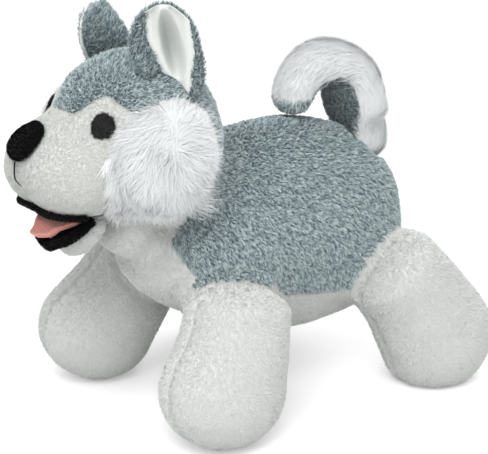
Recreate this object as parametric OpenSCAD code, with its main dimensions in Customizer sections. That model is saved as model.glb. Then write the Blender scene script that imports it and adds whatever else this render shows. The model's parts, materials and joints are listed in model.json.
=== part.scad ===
// Plush husky dog that stands on all fours: pile cloth panels sewn over soft stuffing.
// It looks along -Y, its own left side is +X and up is +Z. Every length is in millimetres.

/* [Body] */
// Length of the body from chest to rump
body_l = 228; // [215:1:245]
// Width of the body across the ribs
body_w = 120; // [108:1:132]
// Height of the body from belly to back
body_h = 158; // [146:1:170]
// Height of the belly above the floor
belly_z = 37; // [32:1:46]
// Height of the chest's foremost point above the belly
chest_up = 66; // [58:1:74]
// Height of the rump's rearmost point above the belly
rump_up = 75; // [66:1:88]
// Distance from the chest back to the highest point of the back
back_in = 116; // [105:1:130]
// Distance from the chest back to the lowest point of the belly
belly_in = 136; // [124:1:148]
// Distance from the chest back to the widest ribs
ribs_in = 96; // [85:1:110]

/* [Head] */
// Diameter of the round skull
head_d = 114; // [106:1:120]
// Width of the skull from cheek to cheek
head_w = 122; // [114:1:130]
// Distance from the chest back to the skull's middle
head_in = 7; // [2:1:14]
// Height of the skull's middle above the back
head_up = 4; // [-2:1:10]
// Thickness of the long fur on the cheeks
cheek_fur = 8; // [5:0.5:10]
// How far the cheek fur reaches down from the side of the skull, in degrees
cheek_reach = 36; // [32:1:40]

/* [Muzzle] */
// How far the muzzle stands out in front of the skull
muzzle_l = 28; // [23:1:34]
// Width of the muzzle
muzzle_w = 92; // [84:1:98]
// Height of the muzzle
muzzle_h = 60; // [54:1:64]
// How far the muzzle's middle hangs below the skull's middle
muzzle_down = 13; // [9:1:17]
// How far the upper lip lies below the skull's middle
lip_down = 36; // [32:1:40]
// Slope of the palate down towards the throat, in degrees
palate_tilt = 4; // [1:1:8]
// Width of the nose
nose_w = 31; // [27:1:35]
// Height of the nose
nose_h = 25; // [21:1:29]
// How far the nose stands out
nose_t = 6; // [4:0.5:8]
// Diameter of the embroidered eyes
eye_d = 15; // [12:0.5:18]
// Thickness of the embroidery on the eyes
eye_t = 1.4; // [1:0.1:2.5]
// Thickness of the stitched upper lip
lip_d = 3.6; // [2.8:0.2:4.6]
// How far round the muzzle the upper lip reaches to either side, in degrees
lip_reach = 27; // [23:1:31]

/* [Lower jaw] */
// How far the jaw's hinge lies in front of the skull's middle
jaw_in = 45; // [41:1:49]
// Length of the lower jaw in front of its hinge
jaw_l = 19; // [16:1:23]
// Width of the lower jaw
jaw_w = 47; // [42:1:50]
// Thickness of the lower jaw at its hinge
jaw_h = 28; // [24:1:31]
// How far the jaw hangs open below level, in degrees
jaw_open = 34; // [28:1:38]
// Thickness of the padded lower lip
chin_lip_d = 7.5; // [5:0.5:8.5]
// Width of the tongue
tongue_w = 30; // [24:1:34]
// Thickness of the tongue
tongue_t = 3; // [2:0.5:4]
// How far the tongue hangs out past the jaw
tongue_out = 5; // [2:1:8]

/* [Legs] */
// Thickness of a leg at its top
leg_d = 72; // [66:1:76]
// Thickness of a paw
paw_d = 77; // [72:1:82]
// How much longer a paw is than it is wide
toe_l = 12; // [6:1:16]
// How far a paw is squashed flat by the floor
paw_squash = 4; // [2:0.5:5]
// How far the paws stand further apart than the tops of the legs
paw_out = 9; // [4:1:14]
// Distance from the chest back to the front legs
shoulder_in = 46; // [40:1:54]
// Height of the front legs' tops above the belly
shoulder_up = 49; // [44:1:56]
// Distance from the rump forward to the back legs
hip_in = 47; // [42:1:54]
// Height of the back legs' tops above the belly
hip_up = 51; // [46:1:58]
// How far the left front leg reaches forward, in degrees
front_left_step = 14; // [4:1:20]
// How far the right front leg reaches forward, in degrees
front_right_step = 28; // [22:1:33]
// How far the left back leg reaches backward, in degrees
back_left_step = 39; // [32:1:42]
// How far the right back leg reaches forward, in degrees
back_right_step = 40; // [32:1:44]
// Height of the dome on top of a leg, which the body's cloth folds in around
leg_dome = 18; // [14:1:24]
// How far each leg gives either way when pushed, in degrees
leg_give = 12; // [6:1:14]

/* [Tail] */
// Thickness of the tail where it leaves the rump
tail_root_d = 40; // [34:1:44]
// Width of the tail at its fullest
tail_w = 62; // [54:1:66]
// Thickness of the tail at its fullest
tail_t = 38; // [34:1:42]
// Thickness of the tail at its tip
tail_tip_d = 31; // [26:1:36]
// Length of the straight part of the tail
tail_stem = 40; // [34:1:46]
// How far the straight part leans forward, in degrees
tail_lean = 14; // [8:1:18]
// Half the length of the curl
curl_l = 28; // [25:1:32]
// Half the height of the curl
curl_h = 27; // [24:1:31]
// Where the tail leaves the rump, measured forward from the rump
tail_in = 26; // [21:1:31]
// Height of the tail's root above the belly
tail_up = 134; // [128:1:140]

/* [Ears] */
// Height of an ear above the skull
ear_h = 48; // [42:1:54]
// Width of an ear at its widest
ear_w = 44; // [38:1:47]
// Width of an ear where it is sewn on
ear_root_w = 30; // [26:1:36]
// How much shorter the right ear stands than the left one
right_ear_less = 9; // [0:1:11]
// How deep the ear is cupped
ear_cup = 9; // [5:1:12]
// Distance between the middles of the ears
ear_apart = 77; // [70:1:84]
// Distance of the ears behind the skull's middle
ear_back = 5; // [0:1:9]
// How far the ears' hollows turn outward from straight ahead, in degrees
ear_turn = 60; // [45:1:70]

/* [Cloth] */
// Thickness of the pile cloth
cloth = 2.4; // [1.6:0.2:3]
// Thickness of the thin lining cloth
lining = 1.8; // [1.2:0.2:2.4]
// Gap along a seam
seam = 0.3; // [0.2:0.05:0.4]
// Room between the cloth and the stuffing
fill_room = 1.05; // [0.9:0.05:1.3]
// Room around each soft joint
joint_room = 1.1; // [0.9:0.1:1.6]

/* [Hidden] */

grey_cloth = [0.40, 0.41, 0.45];
white_cloth = [0.93, 0.93, 0.91];
black_cloth = [0.09, 0.09, 0.10];
pink_felt = [0.88, 0.45, 0.52];
fibre = [0.97, 0.96, 0.93];
bean_cloth = [0.80, 0.82, 0.86];

far_away = 1e6;

// ---- Small helpers ----

function mix(a, b, t) = a + (b - a) * t;
function clamp(x, low, high) = min(max(x, low), high);
function unit(v) = v / norm(v);
// 0 below the start, 1 above the end and a soft step between
function step(x, start, end) = let (t = clamp((x - start) / (end - start), 0, 1)) t * t * (3 - 2 * t);
// Height of an oval's edge, 1 at its middle and 0 at either end
function oval(s, power = 2) = pow(max(0, 1 - pow(abs(s), power)), 1 / power);
// Evenly spaced values from a to b
function spread(a, b, count) = [for (i = [0:count - 1]) mix(a, b, i / (count - 1))];
// Half a seam's gap as an angle at radius r
function seam_turn(r) = asin(seam / 2 / r);

// A closed solid through rings of points, drawn to a point at either end
module lofted(rings, first, last) {
    n = len(rings);
    m = len(rings[0]);
    points = concat([for (ring = rings) each ring], [first, last]);
    faces = concat(
        [for (i = [0:n - 2], j = [0:m - 1])
            let (k = (j + 1) % m)
            each [[i * m + j, i * m + k, (i + 1) * m + k], [i * m + j, (i + 1) * m + k, (i + 1) * m + j]]],
        [for (j = [0:m - 1]) [n * m, (j + 1) % m, j]],
        [for (j = [0:m - 1]) [n * m + 1, (n - 1) * m + j, (n - 1) * m + (j + 1) % m]]);
    polyhedron(points = points, faces = faces, convexity = 6);
}

// A sheet of cloth between two facing grids of points
module sheet(outside, inside) {
    n = len(outside);
    m = len(outside[0]);
    half = n * m;
    points = concat([for (row = outside) each row], [for (row = inside) each row]);
    function pair(a, b, c, d) = [[a, b, c], [a, c, d]];
    faces = concat(
        [for (i = [0:n - 2], j = [0:m - 2])
            let (a = i * m + j) each pair(a, a + 1, a + m + 1, a + m)],
        [for (i = [0:n - 2], j = [0:m - 2])
            let (a = half + i * m + j) each pair(a, a + m, a + m + 1, a + 1)],
        [for (j = [0:m - 2]) each pair(j, half + j, half + j + 1, j + 1)],
        [for (j = [0:m - 2])
            let (a = (n - 1) * m + j) each pair(a, a + 1, half + a + 1, half + a)],
        [for (i = [0:n - 2])
            let (a = i * m) each pair(a, a + m, half + a + m, half + a)],
        [for (i = [0:n - 2])
            let (a = i * m + m - 1) each pair(a, half + a, half + a + m, a + m)]);
    polyhedron(points = points, faces = faces, convexity = 6);
}

// A round cord through a list of points, in the plane across its first and last point
module cord(route, thick, sides = 6) {
    n = len(route);
    rings = [for (i = [0:n - 1])
        let (way = unit(route[min(i + 1, n - 1)] - route[max(i - 1, 0)]),
             side = unit(cross(way, [0.13, 0.21, 0.97])),
             up = cross(side, way))
        [for (j = [0:sides - 1])
            let (a = 360 * j / sides) route[i] + thick / 2 * (side * cos(a) + up * sin(a))]];
    lofted(rings, route[0], route[n - 1]);
}

// ---- Where the main parts stand ----

leg_r = leg_d / 2;
paw_r = paw_d / 2;
paw_z = paw_r - paw_squash;
head_r = head_d / 2;
back_z = belly_z + body_h;

hip_x = body_w / 2 + 4;
front_hip_z = belly_z + shoulder_up;
back_hip_z = belly_z + hip_up;
longest_step = (back_hip_z - paw_z) * tan(back_left_step);

// The whole toy is centred between the nose and the hindmost paw
body_y = (hip_in + head_r + muzzle_l + nose_t - head_in - longest_step - paw_r) / 2;
chest_y = body_y - body_l / 2;
rump_y = body_y + body_l / 2;
head_c = [0, chest_y + head_in, back_z + head_up];
tail_root = [0, rump_y - tail_in, belly_z + tail_up];
root_r = tail_root_d / 2;

// A leg is [hip, step, side], with its step positive when it reaches forward
front_left = [[hip_x, chest_y + shoulder_in, front_hip_z], front_left_step, 1];
front_right = [[-hip_x, chest_y + shoulder_in, front_hip_z], front_right_step, -1];
back_left = [[hip_x, rump_y - hip_in, back_hip_z], -back_left_step, 1];
back_right = [[-hip_x, rump_y - hip_in, back_hip_z], back_right_step, -1];

function leg_length(leg) = (leg[0].z - paw_z) / cos(leg[1]);
function paw_of(leg) = leg[0] + [leg[2] * paw_out, -leg_length(leg) * sin(leg[1]), paw_z - leg[0].z];

// ---- Body ----

// Greatest half width at p that leaves room for a leg swung to one angle
function swung_room(p, leg, spoke, spare) =
    let (y = p.y - leg[0].y,
         z = p.z - leg[0].z,
         turn = atan2(-y, -z) - spoke,
         reach = leg_length(leg),
         down = norm([y, z]) * cos(turn),
         along = clamp(down, 0, reach),
         r = mix(leg_r, paw_r, along / reach) + spare,
         toe = toe_l / 2 * step(along / reach, 0, 1),
         across = (norm([y, z]) * sin(turn) - toe) / (r + toe),
         beyond = down < 0 ? down / (leg_dome + spare) : (down - along) / r,
         off = norm([across, beyond]))
    off >= 1 ? far_away : hip_x + paw_out * along / reach - r * sqrt(1 - off * off);

// The same over the leg's whole travel
function leg_room(p, leg, inset) =
    min([for (give = spread(-leg_give, leg_give, 7))
        swung_room(p, leg, leg[1] + give, joint_room * 1.2 + inset)]);

function beside_legs(p, inset) =
    let (left = p.x > 0,
         room = min(leg_room(p, left ? front_left : front_right, inset),
                    leg_room(p, left ? back_left : back_right, inset)))
    [sign(p.x) * min(abs(p.x), room), p.y, p.z];

// Moves a point straight away from an oval ball until it lies outside it
function outside_ball(p, middle, radii) =
    let (d = p - middle,
         k = norm([d.x / radii.x, d.y / radii.y, d.z / radii.z]))
    k >= 1 || k == 0 ? p : middle + d / k;

function behind_head(p, inset) =
    let (r = head_r + joint_room + inset)
    outside_ball(p, head_c, [head_w / 2 + cheek_fur + joint_room + inset, r, r]);

// Lowers a point into the pocket under the tail's round root
function below_tail(p, inset) =
    let (off = norm([p.x, p.y - tail_root.y]) / (root_r + joint_room * 4 + inset),
         low = tail_root.z - (root_r + joint_room + inset) * oval(min(off, 1)))
    off < 1 && p.z > low ? [p.x, p.y, low] : p;

// A point on the body: t runs from 0 at the chest to 1 at the rump, and a from 0 at the
// middle of the back over the left side to 180 at the belly
function body_point(t, a, inset = 0) =
    let (front = chest_y + inset,
         rear = rump_y - inset,
         y = mix(front, rear, (1 - cos(180 * t)) / 2),
         peak = chest_y + back_in,
         low = chest_y + belly_in,
         wide = chest_y + ribs_in,
         pole_z = belly_z + mix(chest_up, rump_up, step(y, front, rear)),
         top = y < peak ? pole_z + (back_z - inset - pole_z) * oval((peak - y) / (peak - front))
                        : pole_z + (back_z - inset - pole_z) * oval((y - peak) / (rear - peak), 2.2),
         bottom = y < low ? pole_z - (pole_z - belly_z - inset) * oval((low - y) / (low - front), 1.5)
                          : pole_z - (pole_z - belly_z - inset) * oval((y - low) / (rear - low), 2.7),
         half = (body_w / 2 - inset)
              * oval(y < wide ? (wide - y) / (wide - front) : (y - wide) / (rear - wide), 2.5),
         p = [half * sin(a), y, mix(bottom, top, (1 + cos(a)) / 2)])
    below_tail(behind_head(beside_legs(p, inset), inset), inset);

// How far down the side the grey saddle reaches, as an angle from the middle of the back
function saddle_edge(t) =
    let (y = mix(chest_y, rump_y, (1 - cos(180 * t)) / 2),
         neck = step(y, head_c.y, head_c.y + 16),
         over_front = oval(clamp((y - front_left[0].y) / (leg_r + 8), -1, 1)),
         over_back = oval(clamp((y - back_left[0].y - 14) / (leg_r + 6), -1, 1)),
         down = mix(119, 99, max(over_front, over_back)))
    mix(8, down, neck);

// Rows of the body's cloth from the chest to the rump, and those where the saddle and the belly start
body_rows = spread(0.015, 0.985, 30);
saddle_row = 4;
belly_row = 11;
seam_a = seam_turn(body_w / 2);

// Angles of the cloth's corners across half the saddle, and across the white cloth under it
function saddle_turns(t) = [for (k = spread(0, 1, 9)) mix(seam_a, saddle_edge(t) - seam_a, k)];
function under_turns(t) =
    let (edge = t < body_rows[saddle_row] ? seam_a : saddle_edge(t) + seam_a)
    [for (k = spread(0, 1, 17)) mix(edge, 360 - edge, k)];

// Half of the grey back, sewn to the other half along the spine
module saddle(side) {
    rows = [for (i = [saddle_row:len(body_rows) - 1]) body_rows[i]];
    function turns(t) = let (half = saddle_turns(t)) side > 0 ? [for (i = [8:-1:0]) half[i]] : -half;
    sheet([for (t = rows) [for (a = turns(t)) body_point(t, a)]],
          [for (t = rows) [for (a = turns(t)) body_point(t, a, cloth)]]);
}

module saddle_left() {
    color(grey_cloth) saddle(1);
}

module saddle_right() {
    color(grey_cloth) saddle(-1);
}

// White cloth from one saddle edge round under the body to the other
module underside(rows) {
    sheet([for (t = rows) [for (a = under_turns(t)) body_point(t, -a)]],
          [for (t = rows) [for (a = under_turns(t)) body_point(t, -a, cloth)]]);
}

module chest_panel() {
    color(white_cloth) underside([for (i = [0:belly_row]) body_rows[i]]);
}

module belly_panel() {
    later = [for (i = [belly_row + 1:len(body_rows) - 1]) body_rows[i]];
    color(white_cloth) underside(concat([body_rows[belly_row] + seam / body_l], later));
}

module body_stuffing() {
    inset = cloth + fill_room;
    function ring(t) =
        let (half = saddle_turns(t), under = under_turns(t))
        [for (a = concat([for (i = [8:-1:0]) 360 - half[i]], half, [for (i = [1:15]) under[i]])) a];
    rows = [for (i = [2:len(body_rows) - 1]) body_rows[i]];
    function fit(t) = inset + step(t, 0.2, 0.1);
    color(fibre)
        lofted([for (t = rows) [for (a = ring(t)) body_point(t, -a, fit(t))]],
               body_point(0, 0, fit(0)), body_point(1, 0, inset));
}

// ---- Head ----

// Direction from the skull's middle: up is 0 ahead, 90 at the crown and 180 behind, and out
// is 0 in the middle plane and 90 straight out to the left
function ray(up, out) = [sin(out), -cos(out) * cos(up), cos(out) * sin(up)];

// Distance along a direction to the far side of an oval ball, 0 where it is missed
function ball_reach(way, middle, radii) =
    let (w = [way.x / radii.x, way.y / radii.y, way.z / radii.z],
         m = [middle.x / radii.x, middle.y / radii.y, middle.z / radii.z],
         b = w * m,
         q = b * b - (w * w) * (m * m - 1))
    q <= 0 ? 0 : max(0, (b + sqrt(q)) / (w * w));

// Softly joined size of several overlapping shapes
function merge(sizes, power = 12) = pow(vsum([for (s = sizes) pow(s / head_r, power)]), 1 / power) * head_r;
function vsum(list, i = 0) = i >= len(list) ? 0 : list[i] + vsum(list, i + 1);

muzzle_reach = head_r + muzzle_l;
lobe_share = 0.33;
bridge_back = 6;
lip_in = 4;
lobe = [muzzle_w * lobe_share, muzzle_reach * 0.42, muzzle_h * 0.5];
lobe_c = [muzzle_w / 2 - lobe.x, -muzzle_reach + lobe.y, -muzzle_down];
bridge = [nose_w * 0.75, muzzle_reach * 0.42, muzzle_h * 0.42];
bridge_c = [0, -muzzle_reach + bridge.y + bridge_back, -muzzle_down + muzzle_h * 0.22];

function full_head(way) =
    merge([ball_reach(way, [0, 0, 0], [head_w / 2, head_r, head_r]),
           ball_reach(way, lobe_c, lobe),
           ball_reach(way, [-lobe_c.x, lobe_c.y, lobe_c.z], lobe),
           ball_reach(way, bridge_c, bridge)]);

// The palate falls from the lip towards the throat, and the jaw's round hinge end fits into
// the corner between it and the mouth's back wall
hinge_room = joint_room * 0.7;
jaw_r = jaw_h / 2;
function palate_z(forward) = -lip_down - (muzzle_reach - lip_in - forward) * tan(palate_tilt);
jaw_c = head_c + [0, -jaw_in, palate_z(jaw_in) - jaw_r - hinge_room];
throat_in = jaw_in - jaw_r - hinge_room;

// Distance to the palate or the back of the mouth, whichever bounds the open mouth
function mouth_limit(way) =
    let (fall = -way.z - way.y * tan(palate_tilt),
         palate = fall > 0.01 ? (lip_down + (muzzle_reach - lip_in) * tan(palate_tilt)) / fall : far_away,
         wall = way.y < -0.01 ? throat_in / -way.y : far_away)
    max(palate, wall);

function head_size(up, out) = let (way = ray(up, out)) min(full_head(way), mouth_limit(way));
function head_point(up, out, lift = 0) = head_c + ray(up, out) * (head_size(up, out) + lift);

// Angle at which the muzzle meets the palate, found by halving
function lip_up(out, low = -60, high = 0, left = 14) =
    let (mid = (low + high) / 2, way = ray(mid, out))
    left == 0 ? mid
    : full_head(way) > mouth_limit(way) ? lip_up(out, mid, high, left - 1)
    : lip_up(out, low, mid, left - 1);

corner_out = 31;
cheek_out = 90 - cheek_reach;
neck_up = 212;
throat_up = -72;

// Lower edge of the face, which follows the lip and drops behind the mouth's corner
function face_low(out) = out <= corner_out ? lip_up(out)
    : mix(lip_up(corner_out), throat_up, clamp((out - corner_out) / 5, 0, 1));

// Edge between face and crown: a peak down the forehead and an arch over each eye
peak_up = 25;
arch_up = 47;
function face_high(out) = mix(peak_up, arch_up, step(out, 12, 28));

head_seam = seam_turn(head_r);
face_columns = concat(spread(head_seam, corner_out, 8), spread(corner_out + 5, cheek_out - head_seam, 4));

module face(side) {
    rows = spread(0, 1, 13);
    function at(k, out, lift) =
        head_point(mix(face_low(out) + head_seam, face_high(out) - head_seam, k), side * out, lift);
    outside = [for (k = rows) [for (out = face_columns) at(k, out, 0)]];
    inside = [for (k = rows) [for (out = face_columns) at(k, out, -cloth)]];
    if (side > 0)
        sheet(inside, outside);
    else
        sheet(outside, inside);
}

module face_left() {
    color(white_cloth) face(1);
}

module face_right() {
    color(white_cloth) face(-1);
}

module crown(side) {
    rows = spread(0, 1, 15);
    columns = face_columns;
    function at(k, out, lift) =
        head_point(mix(face_high(out) + head_seam, neck_up - head_seam, k), side * out, lift);
    outside = [for (k = rows) [for (out = columns) at(k, out, 0)]];
    inside = [for (k = rows) [for (out = columns) at(k, out, -cloth)]];
    if (side > 0)
        sheet(inside, outside);
    else
        sheet(outside, inside);
}

module crown_left() {
    color(grey_cloth) crown(1);
}

module crown_right() {
    color(grey_cloth) crown(-1);
}

// Long fur pad on the side of the head
module cheek(side) {
    ups = spread(340, 0, 18);
    outs = spread(cheek_out + head_seam, 84, 6);
    function puff(out) = mix(1, cheek_fur, step(out, cheek_out - 2, cheek_out + 14));
    over = [for (out = outs) [for (up = ups) head_point(side * up, side * out, puff(out))]];
    under = [for (out = outs) [for (up = ups) head_point(side * up, side * out, -cloth)]];
    lofted(concat([for (i = [5:-1:0]) over[i]], under),
           head_point(0, side * 90, cheek_fur), head_point(0, side * 90, -cloth));
}

module cheek_left() {
    color(white_cloth) cheek(1);
}

module cheek_right() {
    color(white_cloth) cheek(-1);
}

// White cloth under the back of the head, against the neck
module throat_panel() {
    rows = spread(neck_up + head_seam, 360 + throat_up - head_seam, 8);
    columns = spread(-cheek_out + head_seam, cheek_out - head_seam, 13);
    color(white_cloth)
        sheet([for (up = rows) [for (out = columns) head_point(up, out, -cloth)]],
              [for (up = rows) [for (out = columns) head_point(up, out)]]);
}

// Dark lining of the palate and the back of the mouth
module mouth_lining() {
    half = [for (i = [0:7]) face_columns[i] - (i == 7 ? head_seam : 0)];
    columns = concat([for (i = [7:-1:1]) -half[i]], half);
    rows = spread(0, 1, 9);
    function at(k, out, lift) =
        head_point(mix(throat_up + head_seam, face_low(abs(out)) - head_seam, k), out, lift);
    color(black_cloth)
        sheet([for (k = rows) [for (out = columns) at(k, out, -lining)]],
              [for (k = rows) [for (out = columns) at(k, out, 0)]]);
}

module head_stuffing() {
    inset = cloth + fill_room;
    ups = concat(spread(0, 270, 19), spread(278, 353, 11));
    // The cloth meets itself at a sharp edge along the lip, which the filling stops short of
    function spare(up, out) =
        let (below = up > 180 ? up - 360 : up)
        11 * step(below, throat_up - 24, throat_up) * step(below, 24, 4) * step(abs(out), 58, 44);
    color(fibre)
        lofted([for (out = spread(-82, 82, 21))
                   [for (up = ups) head_point(up, out, -inset - spare(up, out))]],
               head_point(0, -90, -inset), head_point(0, 90, -inset));
}

badge_gap = 0.5;
badge_edge = 0.3;

// Raised patch sewn onto the head: wide and tall in millimetres, domed to a height
module badge(up, out, wide, tall, height, lean = 0) {
    size = head_size(up, out);
    shares = spread(1, 0.25, 4);
    sweep = spread(340, 0, 18);
    function at(share, a, lift) =
        let (x = share * wide / 2 * cos(a),
             z = share * tall / 2 * sin(a),
             right = x * cos(lean) - z * sin(lean),
             high = x * sin(lean) + z * cos(lean),
             turn_out = out + asin(right / size),
             turn_up = up + asin(high / size) / cos(out))
        head_point(turn_up, turn_out, lift);
    under = [for (i = [3:-1:0]) [for (a = sweep) at(shares[i], a, badge_gap)]];
    edge = badge_gap + badge_edge;
    over = [for (share = shares)
        [for (a = sweep) at(share, a, edge + height * oval(share * 0.98, 2.4))]];
    lofted(concat(under, over), head_point(up, out, badge_gap),
           head_point(up, out, edge + height));
}

nose_rise = 10;
nose_up = asin(nose_rise / muzzle_reach);

module nose() {
    color(black_cloth) badge(nose_up, 0, nose_w, nose_h, nose_t);
}

// Black stitches from the nose down to the lip
module nose_stitch() {
    thick = 2;
    low = lip_up(0) + 4;
    high = nose_up - asin(nose_h / 2 / muzzle_reach) - 1;
    color(black_cloth)
        cord([for (up = spread(low, high, 6)) head_point(up, 0, thick / 2 + 0.3)], thick);
}

module upper_lip() {
    color(black_cloth)
        cord([for (out = spread(-lip_reach, lip_reach, 25))
            head_point(lip_up(abs(out)) + 1.4, out, lip_d / 2 + 0.5)], lip_d);
}

eye_up = 25;
eye_out = 37;

module left_eye() {
    color(black_cloth) badge(eye_up, eye_out, eye_d, eye_d, eye_t);
}

module right_eye() {
    color(black_cloth) badge(eye_up, -eye_out, eye_d, eye_d, eye_t);
}

// ---- Lower jaw ----

jaw_way = [0, -cos(jaw_open), -sin(jaw_open)];
jaw_up = [0, -sin(jaw_open), cos(jaw_open)];
jaw_tip_r = 10;
jaw_belly = 0.4;

// A ring of the jaw: k is -1 at the back of the hinge, 0 at the hinge and 1 at the tip
function jaw_point(k, a, inset = 0) =
    let (along = k < 0 ? (jaw_r - inset) * k : (jaw_l - inset) * k,
         high = (k < 0 ? jaw_r : mix(jaw_r, jaw_tip_r, k)) * oval(k, k < 0 ? 2 : 5) - inset * oval(k, 5),
         deeper = 1 + jaw_belly * step(k, 0, 0.5) * max(0, -cos(a)),
         wide = (jaw_w / 2 - inset) * oval(k, k < 0 ? 4 : 2.2))
    jaw_c + jaw_way * along + jaw_up * max(0.3, high) * deeper * cos(a) + [wide * sin(a), 0, 0];

jaw_rows = concat(spread(-0.96, -0.3, 4), spread(0, 0.97, 9));
rim_a = 56;

module jaw_patch(from_a, to_a, columns, thick) {
    sweep = spread(from_a, to_a, columns);
    sheet([for (k = jaw_rows) [for (a = sweep) jaw_point(k, a)]],
          [for (k = jaw_rows) [for (a = sweep) jaw_point(k, a, thick)]]);
}

module chin_panel() {
    color(white_cloth) jaw_patch(rim_a + 1, 359 - rim_a, 13, cloth);
}

module mouth_floor() {
    color(black_cloth) jaw_patch(-rim_a, rim_a, 9, lining);
}

// Black piping round the rim of the lower jaw
module lower_lip() {
    off = chin_lip_d / 2 + seam * 3;
    ways = spread(-0.3, 0.95, 9);
    function rim(k, side) =
        let (p = jaw_point(k, side * (rim_a + 6)),
             out = unit([p.x, 0, 0] + jaw_way * 24 * k * k * k))
        p + unit(out * 0.8 + jaw_up * 0.6) * off;
    color(black_cloth)
        cord(concat([for (k = ways) rim(k, 1)],
                    [jaw_point(1, 0) + unit(jaw_way * 0.8 + jaw_up * 0.6) * off],
                    [for (i = [8:-1:0]) rim(ways[i], -1)]), chin_lip_d, 8);
}

module jaw_stuffing() {
    inset = cloth + fill_room;
    color(fibre)
        lofted([for (k = spread(-0.9, 0.9, 10)) [for (a = spread(0, 337.5, 16)) jaw_point(k, a, inset)]],
               jaw_point(-1, 0, inset), jaw_point(1, 0, inset));
}

tongue_root = 0.3;
tongue_rise = 3;
tongue_sag = 3;
tongue_curl = 1.2;

// Felt tongue that lifts off the jaw towards its tip
module tongue() {
    length = jaw_l + tongue_out;
    function at(k, x, lift) =
        let (half = tongue_w / 2 * oval(k, 2.2),
             along = length * k / jaw_l,
             lifted = (k - tongue_root) / (1 - tongue_root),
             rise = tongue_rise * lifted - tongue_sag * step(along, 0.8, 1.15),
             high = mix(jaw_r, jaw_tip_r, min(along, 1)) + seam * 2 + rise + tongue_curl * x * x)
        jaw_c + jaw_way * (length * k) + jaw_up * (high + lift) + [half * x, 0, 0];
    rows = spread(tongue_root, 0.985, 8);
    columns = spread(-1, 1, 7);
    color(pink_felt)
        sheet([for (k = rows) [for (x = columns) at(k, x, tongue_t)]],
              [for (k = rows) [for (x = columns) at(k, x, 0)]]);
}

// ---- Ears ----

ear_face = [sin(ear_turn), -cos(ear_turn), 0];
ear_side = [cos(ear_turn), sin(ear_turn), 0];

// Height of the skull under a point
function skull_z(x, y) =
    let (aside = x / (head_w / 2), behind = (y - head_c.y) / head_r)
    head_c.z + head_r * sqrt(max(0, 1 - aside * aside - behind * behind));

// A point of the left ear: k is 0 at the root and 1 at the tip, v runs from its front edge at
// -1 to its back edge at 1, lift is towards the hollow side and high is the ear's height
function ear_point(k, v, lift, high) =
    let (half = k < 0.35 ? mix(ear_root_w, ear_w, step(k, -0.1, 0.35)) / 2
                         : ear_w / 2 * oval((k - 0.35) / 0.66, 2.1),
         base = [ear_apart / 2, head_c.y + ear_back, 0],
         flat = base + ear_side * (half * v) + ear_face * (ear_cup * (v * v - 0.45) * (1 - 0.5 * k) + lift),
         root = skull_z(flat.x, flat.y) + joint_room * 1.15 + cheek_fur * step(flat.x / head_w, 0.38, 0.45),
         tip = skull_z(base.x, base.y) + high)
    [flat.x + 2 * k, flat.y - 6 * k, mix(root, tip, k)];

module ear_layer(side, from_lift, to_lift) {
    rows = spread(0, 0.99, 10);
    columns = spread(-1, 1, 9);
    high = side < 0 ? ear_h - right_ear_less : ear_h;
    back = [for (k = rows) [for (v = columns) ear_point(k, v, from_lift, high)]];
    front = [for (k = rows) [for (v = columns) ear_point(k, v, to_lift, high)]];
    mirror([side < 0 ? 1 : 0, 0, 0])
        sheet(back, front);
}

module left_ear_back() {
    color(grey_cloth) ear_layer(1, -cloth - seam / 2, -seam / 2);
}

module left_ear_lining() {
    color(white_cloth) ear_layer(1, seam / 2, lining + seam / 2);
}

module right_ear_back() {
    color(grey_cloth) ear_layer(-1, -cloth - seam / 2, -seam / 2);
}

module right_ear_lining() {
    color(white_cloth) ear_layer(-1, seam / 2, lining + seam / 2);
}

// ---- Tail ----

stem_way = [0, -sin(tail_lean), cos(tail_lean)];
curl_start = tail_root + tail_stem * stem_way;
curl_turn = 150;
tip_r = tail_tip_d / 2;

// The tail's middle line: a stem that leans forward, then a curl over the back, then the tip.
// Each entry is [point, way, half width, half thickness]
function stem_size(k, full, done) = mix(root_r, full, step(k, 0.17, done));
function stem_ring(k) =
    [mix(tail_root, curl_start, k), stem_way, stem_size(k, tail_w / 2, 0.65), stem_size(k, tail_t / 2, 1)];
function curl_ring(k) =
    let (a = tail_lean + curl_turn * k,
         middle = curl_start - [0, curl_l * cos(tail_lean), curl_h * sin(tail_lean)],
         taper = step(k, 0.1, 1))
    [middle + [0, curl_l * cos(a), curl_h * sin(a)], unit([0, -curl_l * sin(a), curl_h * cos(a)]),
     mix(tail_w / 2, tip_r * 1.15, taper), mix(tail_t / 2, tip_r, taper)];
function root_ring(a) =
    let (r = stem_ring(0)) [r[0] - r[1] * root_r * sin(a), r[1], root_r * cos(a), root_r * cos(a)];
function tip_ring(a) =
    let (r = curl_ring(1)) [r[0] + r[1] * tip_r * sin(a), r[1], r[2] * cos(a), r[3] * cos(a)];

tail_rings = concat([for (a = [80, 55, 28]) root_ring(a)],
                    [for (k = spread(0, 0.8, 4)) stem_ring(k)],
                    [for (k = spread(0, 1, 9)) curl_ring(k)],
                    [for (a = [30, 55, 78]) tip_ring(a)]);

// A point on a tail ring, with a from 0 on the hollow side of the curl
function tail_point(ring, a, inset) =
    let (inward = cross([1, 0, 0], ring[1]),
         r = [max(0.4, ring[2] - inset), max(0.4, ring[3] - inset)])
    ring[0] + [r.x * sin(a), 0, 0] + inward * r.y * cos(a);

module tail_patch(from_a, to_a, columns) {
    sweep = spread(from_a, to_a, columns);
    sheet([for (ring = tail_rings) [for (a = sweep) tail_point(ring, -a, 0)]],
          [for (ring = tail_rings) [for (a = sweep) tail_point(ring, -a, min(cloth, ring[3] * 0.7))]]);
}

left_edge = 46;
right_edge = 64;
tail_seam = 0.7;

module tail_back() {
    color(grey_cloth) tail_patch(-left_edge + tail_seam, right_edge - tail_seam, 8);
}

module tail_brush() {
    color(white_cloth) tail_patch(right_edge, 360 - left_edge, 13);
}

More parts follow.
